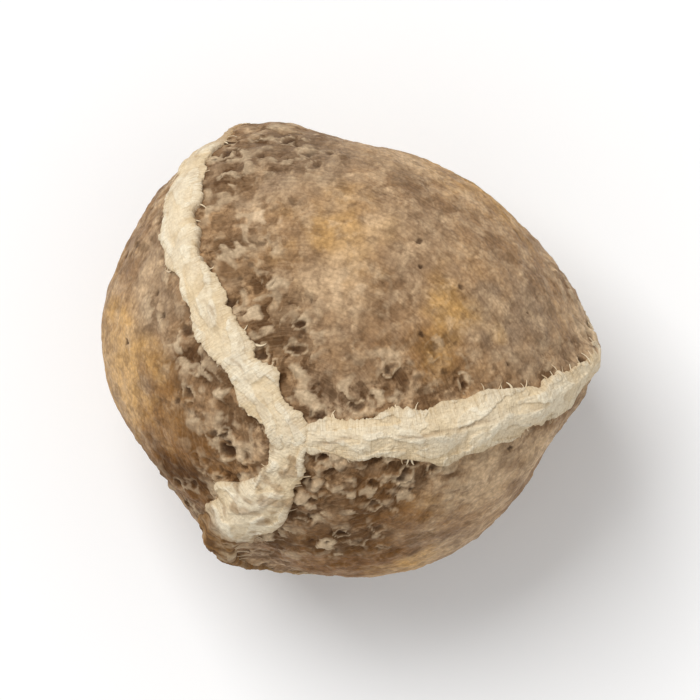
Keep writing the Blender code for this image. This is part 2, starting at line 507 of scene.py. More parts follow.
patchEdges = {
    "wanders": ((0.6, 0.9), (0.35, 0.35)),  # share of a patch's radius, and size
    "fade": (0.1, 1.15),  # shares of the radius between which a patch fades
    "shifts": {
        "golden": 11.0,
        "amber": 83.0,
        "dusky": 19.0,
        "ashen": 43.0,
        "smooth": 37.0,
        "flecked": 67.0,
        "bleachedAndLit": 57.0,
    },
}


def patchMark(directions, name):
    # 1 in the middle of a patch, with a wandering edge
    spots = directions * seedForm["meanRadius"]
    shift = patchEdges["shifts"][name]
    (broad, broadSize), (fine, fineSize) = patchEdges["wanders"]
    wander = broad * noiseAt(spots, broadSize, shift) + fine * noiseAt(spots, fineSize, 2.0 * shift)
    mark = np.zeros(len(directions))
    for polar, azimuth, radius, strength in coatPatches[name]:
        away = awayFrom(directions, polar, azimuth) / radius + wander
        mark = np.maximum(mark, strength * (1.0 - smoothStep(*patchEdges["fade"], away)))
    return mark


def evenDirections():
    # the points of a finely divided cube, spread evenly over a ball, and their mesh
    corners = [(x, y, z) for x in (-1, 1) for y in (-1, 1) for z in (-1, 1)]
    sides = [(0, 1, 3, 2), (4, 6, 7, 5), (0, 4, 5, 1), (2, 3, 7, 6), (0, 2, 6, 4), (1, 5, 7, 3)]
    cube = bpy.data.meshes.new("cage")
    cube.from_pydata(corners, [], sides)
    cage = bpy.data.objects.new("cage", cube)
    bpy.context.scene.collection.objects.link(cage)
    divide = cage.modifiers.new("divide", "SUBSURF")
    divide.subdivision_type = "SIMPLE"
    divide.levels = coatRelief["divisions"]
    graph = bpy.context.evaluated_depsgraph_get()
    mesh = bpy.data.meshes.new_from_object(cage.evaluated_get(graph))
    bpy.data.objects.remove(cage)
    grid = np.empty(len(mesh.vertices) * 3)
    mesh.vertices.foreach_get("co", grid)
    spread = np.tan(grid.reshape(-1, 3) * math.pi / 4.0)
    return mesh, spread / np.linalg.norm(spread, axis=1)[:, None]


def roughZones(directions, nearest, dusky, smooth):
    # strength of the pitted zone beside the stumps, and how rough the coat is
    values = coatRelief
    spots = directions * seedForm["meanRadius"]
    reach = nearest - values["marginStart"] + values["marginWander"] * noiseAt(spots, 1.0, 31.0)
    beside = 1.0 - smoothStep(0.0, values["marginReach"], reach)
    degrees = np.degrees(anglesOf(directions)[0])
    poles = np.exp(-((degrees / values["poleSpread"]) ** 2))
    poles += np.exp(-(((180.0 - degrees) / values["poleSpread"]) ** 2))
    plain, atPole, atDusky = values["marginShares"]
    margin = np.clip(beside * (plain + atPole * poles) + atDusky * dusky, 0.0, 1.0)
    unbroken = smoothStep(-0.3, 0.3, noiseAt(spots, values["patchySize"], 17.0))
    patchy = values["patchyLeast"] + (1.0 - values["patchyLeast"]) * unbroken
    calm = 1.0 - values["calmShare"] * smooth
    return margin, np.clip(values["leastRough"] + values["roughGain"] * margin * patchy * calm, 0.0, 1.0)


def warpAt(spots, size, shifts):
    # a wandering move for each point
    return np.stack([noiseAt(spots, size, shift) for shift in shifts], axis=1)


def coatMarks(directions, nearest):
    # the coat's fine relief in millimetres, and the named values that its colours follow
    values = coatRelief
    polar, azimuth = anglesOf(directions)
    spots = directions * seedForm["meanRadius"]
    patches = {name: patchMark(directions, name) for name in coatPatches}
    margin, rough = roughZones(directions, nearest, patches["dusky"], patches.pop("smooth"))

    broadSize, fineSize = values["warpSizes"]
    warp = warpAt(spots, broadSize, (3.0, 13.0, 23.0))
    fineWarp = warpAt(spots, fineSize, (33.0, 43.0, 53.0))
    bent = spots + values["knotBend"] * warp
    knots = noiseAt(bent, values["knotSize"], 5.0) + 0.5 * noiseAt(bent, 0.45 * values["knotSize"], 15.0)

    # granules and pits share one pattern of cells
    bend, fineBend = values["granuleBends"]
    cell, gap, chance = cellsAt(spots + bend * warp + fineBend * fineWarp, values["granuleSize"])
    soft = values["cellSoftness"]
    isPit = smoothStep(values["pitShare"] + soft, values["pitShare"] - soft, chance)
    granules = np.clip(1.0 - (cell / values["granuleWidth"]) ** 2, 0.0, 1.0)
    least, more = values["pitWidths"]
    pitWidth = least + more * chance
    pits = isPit * roundSpot(cell, pitWidth, values["pitFloor"])
    rims = isPit * np.exp(-(((cell - pitWidth - values["rimOffset"]) / values["rimWidth"]) ** 2))
    gaps = 1.0 - smoothStep(0.0, values["gapWidth"], gap)
    isSpeck = smoothStep(1.0 - values["speckShare"], 1.0 + soft - values["speckShare"], chance)
    specks = isSpeck * granules
    relief = granules * (1.0 - isPit) + values["rimHeight"] * rims
    relief -= values["granuleLevel"] + values["gapDepth"] * gaps
    relief = rough * (values["granuleHeight"] * relief - values["pitDepth"] * pits)

    least, more = values["pinholeWidths"]
    hole, _, chance = cellsAt(spots + values["pinholeBend"] * warp, values["pinholeSize"], 90.0)
    pinholes = rough * roundSpot(hole, least + more * chance, values["pinholeFloor"])
    pinholes *= chance < values["pinholeShare"]
    pore, _, chance = cellsAt(spots + values["poreBend"] * warp, values["poreSize"], 40.0)
    pores = roundSpot(pore, values["poreWidth"] * (0.5 + chance), values["poreFloor"]) * (1.0 - 0.7 * rough)
    pores *= chance > values["poreFree"]
    relief -= values["pinholeDepth"] * pinholes + values["poreDepth"] * pores
    relief += rough * (values["knotHeight"] * knots + values["speckHeight"] * specks)
    relief += (0.25 + 0.75 * rough) * values["crumbHeight"] * noiseAt(spots, values["crumbSize"], 7.0)
    relief += values["leatherHeight"] * noiseAt(spots, values["leatherSize"], 70.0)

    # faint streaks that run straight away from the stumps
    wavy = polar * seedForm["meanRadius"] + values["streakWander"] * noiseAt(spots, 0.8, 27.0)
    streakSpots = np.stack([wavy / values["streakWidth"], nearest / values["streakLength"], azimuth], 1)
    streaks = noiseAt(streakSpots, 1.0, 2.0) * np.sin(polar)
    relief += values["streakHeight"] * streaks * (1.0 - 0.5 * margin)

    away = seedForm["meanRadius"] * (math.pi - polar)
    scar = roundSpot(away, values["scarRadius"], values["scarFloor"])
    marks = {
        "rough": rough,
        "crests": np.clip(specks + 0.8 * rims + 0.25 * granules * (1.0 - isPit), 0.0, 1.0),
        "gaps": gaps,
        "knots": 0.5 + 0.5 * knots,
        "pits": np.maximum(np.maximum(pits * rough, 0.8 * pinholes), pores),
        "scar": scar,
        "along": wavy,
        "across": nearest,
        "turn": azimuth,
    }
    return relief + values["scarHeight"] * scar, {**patches, **marks}


def makeCoat(material):
    mesh, directions = evenDirections()
    radius, nearest = coatSurface(directions)
    relief, marks = coatMarks(directions, nearest)
    mesh.vertices.foreach_set("co", setDown(directions * (radius + relief)[:, None]).ravel())
    addPiece("seed_coat", mesh, marks, material)
    print("coat made with", len(mesh.vertices), "points")


wingStumps = {
    # along each stump: polar angle in degrees, half width on the clockwise and on the other side, height
    "stations": (
        (
            (0.0, 0.54, 0.54, 0.20),
            (36.0, 0.50, 0.50, 0.20),
            (50.0, 0.48, 0.36, 0.20),
            (62.0, 0.47, 0.46, 0.19),
            (70.0, 0.46, 0.46, 0.18),
            (84.0, 0.40, 0.42, 0.12),
            (94.0, 0.26, 0.28, 0.05),
            (105.0, 0.20, 0.22, 0.03),
            (130.0, 0.32, 0.32, 0.08),
            (155.0, 0.42, 0.40, 0.11),
            (180.0, 0.46, 0.46, 0.12),
        ),
        (
            (0.0, 0.49, 0.49, 0.14),
            (15.0, 0.46, 0.48, 0.17),
            (22.0, 0.66, 0.62, 0.22),
            (28.0, 0.98, 0.82, 0.26),
            (33.0, 0.98, 0.80, 0.26),
            (39.0, 0.74, 0.62, 0.25),
            (46.0, 0.64, 0.50, 0.24),
            (54.0, 0.74, 0.32, 0.26),
            (62.0, 0.64, 0.26, 0.24),
            (69.0, 0.40, 0.20, 0.12),
            (76.0, 0.22, 0.18, 0.03),
            (100.0, 0.20, 0.20, 0.02),
            (130.0, 0.34, 0.32, 0.07),
            (155.0, 0.44, 0.42, 0.11),
            (180.0, 0.46, 0.46, 0.12),
        ),
        (
            (0.0, 0.38, 0.38, 0.11),
            (6.0, 0.42, 0.42, 0.13),
            (12.0, 0.48, 0.48, 0.17),
            (25.0, 0.64, 0.64, 0.22),
            (40.0, 0.78, 0.76, 0.25),
            (55.0, 0.76, 0.72, 0.24),
            (68.0, 0.66, 0.54, 0.20),
            (78.0, 0.66, 0.32, 0.15),
            (88.0, 0.52, 0.22, 0.07),
            (97.0, 0.24, 0.28, 0.03),
            (106.0, 0.18, 0.18, 0.01),
            (125.0, 0.28, 0.28, 0.06),
            (150.0, 0.46, 0.44, 0.11),
            (180.0, 0.48, 0.48, 0.12),
        ),
    ),
    "bareShares": (0.7, 0.8, 0.15),  # how brown each gets where it is worn flush
    "bareHeights": (0.03, 0.10),  # worn flush below the first, whole above the second
    "soilShares": (0.13, 0.55, 0.06),
    "soilSize": 0.34,
    "shadeSpans": (None, (41.0, 76.0), None),  # painted shade, brown all over between these polar angles
    "shadeWander": 7.0,
    "shadeFade": 5.0,
    "starts": (-0.30, -0.30, -0.02),  # where each starts, in millimetres past the upper pole's middle
    "pastLowerPole": 0.25,
    "endLength": 0.4,  # each end narrows and sinks over this length,
    "endShare": 0.3,  # to this share
    "leastHalf": 0.10,
    "tearPitch": 0.75,
    "tearWidth": 0.45,  # share of the half width that the long tears take or add
    "tearHeight": 0.5,
    "biteSize": 0.42,
    "biteWidth": 0.16,
    "raggedSize": 1.3,  # length of the stretches that are more or less toothed
    "toothSize": 0.13,
    "toothWidth": 0.07,
    "nickSize": 0.05,
    "nickWidth": 0.03,
    "stepsAlong": 720,
    "stepsAcross": 64,
    "stepsBelow": 8,
    "rootDepth": 0.18,  # the strip is closed this far below the coat's surface
    "rootShare": 0.82,
    "plateSizes": ((0.8, 0.32), (0.35, 0.22)),  # these pairs are a length along and a width across
    "plateHeight": 0.036,
    "fibreSize": (0.40, 0.05),
    "shredSize": (0.14, 0.30),
    "fibreHeight": 0.012,
    "lumpSize": 0.32,
    "lumpHeight": 0.024,
    "gritSize": 0.075,
    "gritHeight": 0.012,
    "creaseWander": 0.25,
    "creaseWidth": 0.045,
    "creaseDepth": 0.022,
}


def stationValue(column, stump, polar):
    stations = np.array(wingStumps["stations"][stump])
    return np.interp(np.degrees(polar), stations[:, 0], stations[:, column])


def lineNoise(stump, along, size, lane):
    # noise along a stump's line, different for each stump and lane
    level = np.full(len(along), 7.3 * stump + 2.1 * lane)
    return noiseAt(np.stack([along / size, level, np.full(len(along), 0.5)], 1), 1.0)


def stumpLine(stump, polar):
    # directions of the middle line and straight across it, which run straight on past a pole
    inside = np.clip(polar, 0.001, math.pi - 0.001)
    azimuth = stumpAzimuth(stump, inside)
    middle = directionAt(inside, azimuth)
    sideways = np.stack([-np.sin(azimuth), np.cos(azimuth), np.zeros(len(polar))], axis=1)
    onward = np.cross(sideways, middle)
    extra = (polar - inside)[:, None]
    return middle * np.cos(extra) + onward * np.sin(extra), sideways


def endLevel(ends):
    return wingStumps["endShare"] + (1.0 - wingStumps["endShare"]) * ends


def stumpEdges(stump, polar, ends):
    # ragged half widths on either side of the middle line
    values = wingStumps
    along = polar * seedForm["meanRadius"]
    halves = []
    for side in range(2):
        half = stationValue(1 + side, stump, polar)
        half *= 1.0 + values["tearWidth"] * lineNoise(stump, along, values["tearPitch"], side)
        half += values["biteWidth"] * lineNoise(stump, along, values["biteSize"], 11 + side)
        ragged = smoothStep(-0.35, 0.35, lineNoise(stump, along, values["raggedSize"], 23 + side))
        teeth = np.abs(lineNoise(stump, along, values["toothSize"], 31 + side)) - 0.2
        half += values["toothWidth"] * (0.3 + 1.5 * ragged) * teeth
        half += values["nickWidth"] * (0.3 + ragged) * lineNoise(stump, along, values["nickSize"], 41 + side)
        halves.append(np.maximum(half, values["leastHalf"]) * endLevel(ends))
    return halves


def stumpGrid(stump, polar, ends):
    # directions in rows across a stump, over its top and back below it, with each point's distance from
    # the middle line and its share of the half width
    values = wingStumps
    spread = np.linspace(-1.0, 1.0, values["stepsAcross"] + 1)
    over = 0.6 * spread + 0.4 * np.sin(0.5 * math.pi * spread)  # closer together near the edges
    under = np.linspace(values["rootShare"], -values["rootShare"], values["stepsBelow"] + 2)[1:-1]
    reach = np.concatenate([over, under])
    first, second = stumpEdges(stump, polar, ends)
    offsets = reach[None, :] * np.where(reach[None, :] > 0.0, second[:, None], first[:, None])
    turn = (offsets / seedForm["meanRadius"])[..., None]
    middle, sideways = stumpLine(stump, polar)
    directions = middle[:, None, :] * np.cos(turn) + sideways[:, None, :] * np.sin(turn)
    directions = directions.reshape(-1, 3)
    directions /= np.linalg.norm(directions, axis=1)[:, None]
    return directions, offsets.ravel(), np.tile(np.abs(reach), len(polar))


def stumpSoilAndShade(stump, along, spots, lumps, shreds):
    # how soiled a stump's paper is, with painted shade over one span of the second stump
    values = wingStumps
    blotches = noiseAt(spots, values["soilSize"], 80.0) + 0.4 * shreds
    soilAndShade = values["soilShares"][stump] * smoothStep(0.0, 0.35, blotches)
    if values["shadeSpans"][stump] is None:
        return soilAndShade
    first, last = values["shadeSpans"][stump]
    fade = values["shadeFade"]
    # over this span the paper is brown all over: painted shade, not soil
    angle = np.degrees(along / seedForm["meanRadius"]) + values["shadeWander"] * noiseAt(spots, 0.45, 85.0)
    spanShade = smoothStep(first - fade, first + fade, angle)
    spanShade *= 1.0 - smoothStep(last - fade, last + fade, angle)
    return np.maximum(soilAndShade, spanShade * (0.95 + 0.6 * lumps))


def stumpPaper(stump, polar, ends, directions, offsets, reaches):
    # height of a stump's torn paper over the coat, and the named values that its colours follow
    values = wingStumps
    around = len(offsets) // len(polar)
    line = polar * seedForm["meanRadius"]
    along = np.repeat(line, around)
    spots = directions * seedForm["meanRadius"]
    lane = np.full(len(along), 4.0 * stump)

    def stripNoise(size, shift):
        return noiseAt(np.stack([along / size[0], offsets / size[1], lane], 1), 1.0, shift)

    fibres = stripNoise(values["fibreSize"], 6.0)
    shreds = stripNoise(values["shredSize"], 9.0)
    lumps = noiseAt(spots, values["lumpSize"], 50.0)
    grit = noiseAt(spots, values["gritSize"], 60.0)
    broad, small = values["plateSizes"]
    plates = smoothStep(-0.04, 0.04, stripNoise(broad, 3.0) + 0.12 * shreds)
    plates += 0.6 * smoothStep(-0.03, 0.03, stripNoise(small, 14.0) - 0.18)
    wander = np.repeat(values["creaseWander"] * lineNoise(stump, line, 0.9, 51), around)
    shown = np.repeat(smoothStep(0.12, 0.5, lineNoise(stump, line, 0.8, 57)), around)
    crease = np.exp(-(((offsets - wander) / values["creaseWidth"]) ** 2)) * shown

    tall = stationValue(3, stump, polar)
    whole = smoothStep(*values["bareHeights"], tall)
    tall *= (1.0 + values["tearHeight"] * lineNoise(stump, line, values["tearPitch"], 2)) * endLevel(ends)
    shoulder = np.clip(1.0 - reaches ** 8, 0.0, 1.0) ** 0.5
    fine = values["plateHeight"] * (plates - 0.8) + values["lumpHeight"] * lumps
    fine += values["fibreHeight"] * (fibres + 0.6 * shreds) + values["gritHeight"] * grit
    height = np.repeat(tall, around) * (0.62 + 0.38 * shoulder)
    height += fine * (0.35 + 0.65 * shoulder) - values["creaseDepth"] * crease
    marks = {
        "edge": smoothStep(0.70, 1.0, reaches + 0.10 * grit),
        "crease": crease,
        "rim": smoothStep(0.25, 0.85, reaches),
        "plates": plates / 1.6,
        "shreds": 0.5 + 0.5 * shreds,
        "along": along,
        "offset": offsets,
        "flush": values["bareShares"][stump] * np.repeat(1.0 - whole, around),
        # soil blotches, with painted shade over the second stump's span
        "soilAndShade": stumpSoilAndShade(stump, along, spots, lumps, shreds),
    }
    return wornShare(directions) * height, marks


def makeWingStump(stump, material):
    # a torn papery strip with a ragged outline, closed below the coat's surface
    values = wingStumps
    radius = seedForm["meanRadius"]
    rows = values["stepsAlong"] + 1
    around = values["stepsAcross"] + 1 + values["stepsBelow"]
    first = values["starts"][stump] / radius
    last = math.pi + values["pastLowerPole"] / radius
    polar = np.linspace(first, last, rows)
    fade = values["endLength"] / radius
    ends = smoothStep(0.0, fade, polar - first) * smoothStep(0.0, fade, last - polar)
    directions, offsets, reaches = stumpGrid(stump, polar, ends)
    height, marks = stumpPaper(stump, polar, ends, directions, offsets, reaches)
    isBelow = np.tile(np.arange(around) > values["stepsAcross"], rows)
    height = np.where(isBelow, -values["rootDepth"], height)
    base, _ = coatSurface(directions)
    points = directions * (base + height)[:, None]
    addPiece(f"wing_stump_{stump + 1}", meshFrom(points, tubeFaces(rows, around)), marks, material)
    print("wing stump", stump + 1, "made with", len(points), "points")


tornFibres = {
    "count": 170,
    "seed": 7,
    "points": 7,
    "poleGap": 9.0,  # none starts within this angle of a pole
    "shortest": 0.08,
    "longest": 0.21,
    "lengthPower": 2.2,  # makes the long ones rare
    "rootLength": 0.10,  # each starts this far inside a stump's edge
    "sizes": (0.5, 1.2),
    "width": 0.065,
    "tipShare": 0.25,  # of the width
    "thickness": 0.022,
    "drift": 0.10,  # how far a fibre wanders along the stump
    "arch": 0.035,
    "clearance": 0.012,
    "unworn": 0.98,  # they lie only where the stumps are at least this unworn
}


def fibreRings(line, size):
    # four points round each point of a fibre, whose directions are given from its root to its tip
    values = tornFibres
    steps = np.linspace(0.0, 1.0, values["points"])
    base, _ = coatSurface(line)
    lift = values["arch"] * size * (1.0 - steps) + values["clearance"]
    spine = line * (base + lift)[:, None]
    tangent = np.gradient(spine, axis=0)
    tangent /= np.linalg.norm(tangent, axis=1)[:, None]
    breadth = np.cross(line, tangent)
    taper = (values["width"] * size * (1.0 - (1.0 - values["tipShare"]) * steps ** 1.5))[:, None]
    sideways = 0.5 * taper * breadth
    upwards = 0.5 * values["thickness"] * size * line
    ring = [spine + sideways, spine - upwards, spine - sideways, spine + upwards]
    return np.stack(ring, axis=1).reshape(-1, 3)


def makeTornFibres(material):
    # thin papery shreds that lie out from the stumps' edges over the coat
    values = tornFibres
    radius = seedForm["meanRadius"]
    chooser = np.random.default_rng(values["seed"])
    steps = np.linspace(0.0, 1.0, values["points"])
    points = []
    faces = []
    tones = []
    for _ in range(values["count"]):
        stump = int(chooser.integers(3))
        polar = math.radians(chooser.uniform(values["poleGap"], 180.0 - values["poleGap"]))
        side = int(chooser.integers(2))
        extra = (values["longest"] - values["shortest"]) * chooser.random() ** values["lengthPower"]
        drift = values["drift"] * chooser.normal()
        bend = 0.5 * values["drift"] * chooser.normal()
        size = chooser.uniform(*values["sizes"])
        length = values["shortest"] + extra + values["rootLength"]
        root = stumpEdges(stump, np.array([polar]), np.ones(1))[side][0] - values["rootLength"]
        path = polar + (drift * steps + bend * np.sin(math.pi * steps)) / radius
        offset = (1.0 if side else -1.0) * (root + length * steps)
        middle, sideways = stumpLine(stump, path)
        turn = (offset / radius)[:, None]
        line = middle * np.cos(turn) + sideways * np.sin(turn)
        if wornShare(line).min() < values["unworn"]:
            continue
        rings = fibreRings(line, size)
        faces.extend(tubeFaces(len(steps), len(rings) // len(steps), len(points)))
        points.extend(rings.tolist())
        tones.extend([float(chooser.random())] * len(rings))
    addPiece("torn_fibres", meshFrom(np.array(points), faces), {"tone": tones}, material)
    print("torn fibres made:", len(faces), "faces")


def makeMaterial(name, specular):
    material = bpy.data.materials.new(name)
    material.use_nodes = True
    shader = material.node_tree.nodes["Principled BSDF"]
    shader.inputs["Specular IOR Level"].default_value = specular
    return material, material.node_tree, shader


def srgb(red, green, blue):
    # a colour as seen, on the 0 to 255 scale, to the linear values that a shader takes
    def linear(level):
        share = level / 255.0
        return share / 12.92 if share <= 0.04045 else ((share + 0.055) / 1.055) ** 2.4

    return (linear(red), linear(green), linear(blue), 1.0)


def feed(tree, socket, value):
    # a number, a colour or another node's output into a socket
    if isinstance(value, bpy.types.NodeSocket):
        tree.links.new(value, socket)
    else:
        socket.default_value = value


def markNode(tree, name):
    node = tree.nodes.new("ShaderNodeAttribute")
    node.attribute_name = name
    return node.outputs["Fac"]


def mathNode(tree, operation, first, second):
    node = tree.nodes.new("ShaderNodeMath")
    node.operation = operation
    feed(tree, node.inputs[0], first)
    feed(tree, node.inputs[1], second)
    return node.outputs["Value"]


def timesNode(tree, first, second):
    return mathNode(tree, "MULTIPLY", first, second)


def highestNode(tree, *values):
    highest = values[0]
    for value in values[1:]:
        highest = mathNode(tree, "MAXIMUM", highest, value)
    return highest


def spreadNode(tree, value, low, high, outLow=0.0, outHigh=1.0):
    node = tree.nodes.new("ShaderNodeMapRange")
    node.clamp = True
    limits = {"Value": value, "From Min": low, "From Max": high, "To Min": outLow, "To Max": outHigh}
    for label, limit in limits.items():
        feed(tree, node.inputs[label], limit)
    return node.outputs["Result"]


def mixNode(tree, share, first, second, blend="MIX"):
    # the numbered sockets are the ones for a share and two colours
    node = tree.nodes.new("ShaderNodeMix")
    node.data_type = "RGBA"
    node.blend_type = blend
    node.clamp_factor = True
    for socket, value in ((0, share), (6, first), (7, second)):
        feed(tree, node.inputs[socket], value)
    return node.outputs[2]


def layeredNode(tree, colour, look, layers):
    # lays colours over a ground in turn, each given by its share and its name
    for share, name in layers:
        colour = mixNode(tree, share, colour, look[name])
    return colour


def noiseNode(tree, vector, scale, detail, roughness=0.55, distortion=0.0):
    node = tree.nodes.new("ShaderNodeTexNoise")
    values = {"Vector": vector, "Scale": scale, "Detail": detail}
    values.update({"Roughness": roughness, "Distortion": distortion})
    for label, value in values.items():
        feed(tree, node.inputs[label], value)
    return node.outputs["Fac"]


def newGroup(name, inputs, outputs):
    group = bpy.data.node_groups.new(name, "ShaderNodeTree")
    for label, kind, value in inputs:
        socket = group.interface.new_socket(name=label, in_out="INPUT", socket_type=kind)
        if value is not None:
            socket.default_value = value
    for label, kind in outputs:
        group.interface.new_socket(name=label, in_out="OUTPUT", socket_type=kind)
    start = group.nodes.new("NodeGroupInput")
    end = group.nodes.new("NodeGroupOutput")
    return group, start, end


def placeGroup(tree, name, values):
    # a node that holds one of the groups, with its own values, and the output it gives
    node = tree.nodes.new("ShaderNodeGroup")
    node.node_tree = groups[name]
    for label, value in values.items():
        feed(tree, node.inputs[label], value)
    return node.outputs[0]


def millimetreGroup():
    # object coordinates counted in millimetres
    group, _, end = newGroup("Millimetres", [], [("Place", "NodeSocketVector")])
    place = group.nodes.new("ShaderNodeTexCoord")
    scale = group.nodes.new("ShaderNodeVectorMath")
    scale.operation = "SCALE"
    scale.inputs["Scale"].default_value = 1.0 / mm
    group.links.new(place.outputs["Object"], scale.inputs[0])
    group.links.new(scale.outputs["Vector"], end.inputs["Place"])
    return group


def mottleGroup():
    # soft blotches of one size, as a mask
    inputs = [
        ("Place", "NodeSocketVector", None),
        ("Size", "NodeSocketFloat", 1.0),
        ("Threshold", "NodeSocketFloat", 0.5),
        ("Softness", "NodeSocketFloat", 0.1),
    ]
    group, start, end = newGroup("Mottling", inputs, [("Mask", "NodeSocketFloat")])
    scale = mathNode(group, "DIVIDE", 1.0, start.outputs["Size"])
    blotch = noiseNode(group, start.outputs["Place"], scale, 4.0, 0.6, 0.3)
    low = mathNode(group, "SUBTRACT", start.outputs["Threshold"], start.outputs["Softness"])
    high = mathNode(group, "ADD", start.outputs["Threshold"], start.outputs["Softness"])
    spread = group.nodes.new("ShaderNodeMapRange")
    spread.interpolation_type = "SMOOTHSTEP"
    group.links.new(blotch, spread.inputs["Value"])
    group.links.new(low, spread.inputs["From Min"])
    group.links.new(high, spread.inputs["From Max"])
    group.links.new(spread.outputs["Result"], end.inputs["Mask"])
    return group


def grainGroup():
    # the finest grain, which is both a height for bump and a light and dark mask
    inputs = [("Place", "NodeSocketVector", None), ("Size", "NodeSocketFloat", 0.05)]
    group, start, end = newGroup("Fine grain", inputs, [("Grain", "NodeSocketFloat")])
    scale = mathNode(group, "DIVIDE", 1.0, start.outputs["Size"])
    fine = noiseNode(group, start.outputs["Place"], scale, 5.0, 0.65)
    cells = group.nodes.new("ShaderNodeTexVoronoi")
    cells.feature = "F1"
    group.links.new(start.outputs["Place"], cells.inputs["Vector"])
    group.links.new(timesNode(group, scale, 0.6), cells.inputs["Scale"])
    bead = spreadNode(group, cells.outputs["Distance"], 0.0, 0.8, 1.0, 0.0)
    grain = mathNode(group, "ADD", timesNode(group, fine, 0.65), timesNode(group, bead, 0.35))
    group.links.new(grain, end.inputs["Grain"])
    return group


def striaGroup():
    # fine lines drawn out across the along direction, for colour and bump
    inputs = [
        ("Along", "NodeSocketFloat", 0.0),
        ("Across", "NodeSocketFloat", 0.0),
        ("Turn", "NodeSocketFloat", 0.0),
        ("Width", "NodeSocketFloat", 0.05),
        ("Length", "NodeSocketFloat", 0.6),
    ]
    group, start, end = newGroup("Fine striae", inputs, [("Lines", "NodeSocketFloat")])
    combine = group.nodes.new("ShaderNodeCombineXYZ")
    along = mathNode(group, "DIVIDE", start.outputs["Along"], start.outputs["Width"])
    across = mathNode(group, "DIVIDE", start.outputs["Across"], start.outputs["Length"])
    group.links.new(along, combine.inputs["X"])
    group.links.new(across, combine.inputs["Y"])
    group.links.new(timesNode(group, start.outputs["Turn"], 1.5), combine.inputs["Z"])
    lines = noiseNode(group, combine.outputs["Vector"], 1.0, 3.0, 0.6)
    group.links.new(lines, end.inputs["Lines"])
    return group


groups = {
    "millimetres": millimetreGroup(),
    "mottling": mottleGroup(),
    "grain": grainGroup(),
    "striae": striaGroup(),
}
print("node groups ready")


def mottleNode(tree, place, blotches):
    size, threshold, softness = blotches
    values = {"Place": place, "Size": size, "Threshold": threshold, "Softness": softness}
    return placeGroup(tree, "mottling", values)


def grainedNode(tree, colour, grain, look):
    # a colour darkened where the grain is low
    shade = mixNode(tree, spreadNode(tree, grain, 0.3, 0.7), look["grainShade"], (1.0, 1.0, 1.0, 1.0))
    return mixNode(tree, look["grainShare"], colour, shade, "MULTIPLY")


fineBump = {
    "strength": 0.8,
    "depth": 0.04,
}


def addBump(tree, shader, height):
    bump = tree.nodes.new("ShaderNodeBump")
    bump.inputs["Strength"].default_value = fineBump["strength"]
    bump.inputs["Distance"].default_value = fineBump["depth"] * mm
    tree.links.new(height, bump.inputs["Height"])
    tree.links.new(bump.outputs["Normal"], shader.inputs["Normal"])


coatLook = {
    "taupe": srgb(157, 123, 89),
    "tan": srgb(198, 159, 116),
    "golden": srgb(234, 182, 106),
    "amber": srgb(148, 95, 26),
    "ashen": srgb(172, 146, 118),
    "dusky": srgb(92, 62, 35),
    # the colour of real pale blotches and lines, and of the painted light in some pale patches
    "bleachedAndLit": srgb(240, 206, 164),
    "pit": srgb(70, 47, 29),
    "crest": srgb(228, 202, 166),
    "fleck": srgb(228, 200, 164),
    "scar": srgb(222, 206, 174),
    "patchShares": {"ashen": 0.85, "amber": 0.9, "golden": 0.95, "bleachedAndLit": 0.88},  # in this order
    "tanBlotches": (1.4, 0.5, 0.16),  # size in millimetres, threshold and softness
    "darkBlotches": (0.36, 0.53, 0.10),
    "paleBlotches": (0.50, 0.58, 0.11),
    "darkShares": (0.38, 0.9),  # on the smooth and on the rough coat
    "paleShares": (0.58, 0.1),  # away from the amber patches and in them
    "raisedShares": (1.0, 0.4),  # and the same for raised knots
    "duskyPower": 1.4,
    "duskyShare": 0.9,
    "gapShare": 0.8,
    "sunkShare": 0.95,
    "raisedShare": 0.65,
    "fleckShare": 0.8,
    "crestShare": 0.9,
    "lightLines": 0.12,
    "darkLines": 0.14,
    "lineBump": 0.3,
    "pitShare": 0.78,
    "grainSize": 0.06,
    "grainShare": 0.5,
    "grainShade": srgb(150, 145, 140),
    "roughness": (0.5, 0.8),  # of the palest and of the darkest coat
    "specular": 0.10,
}


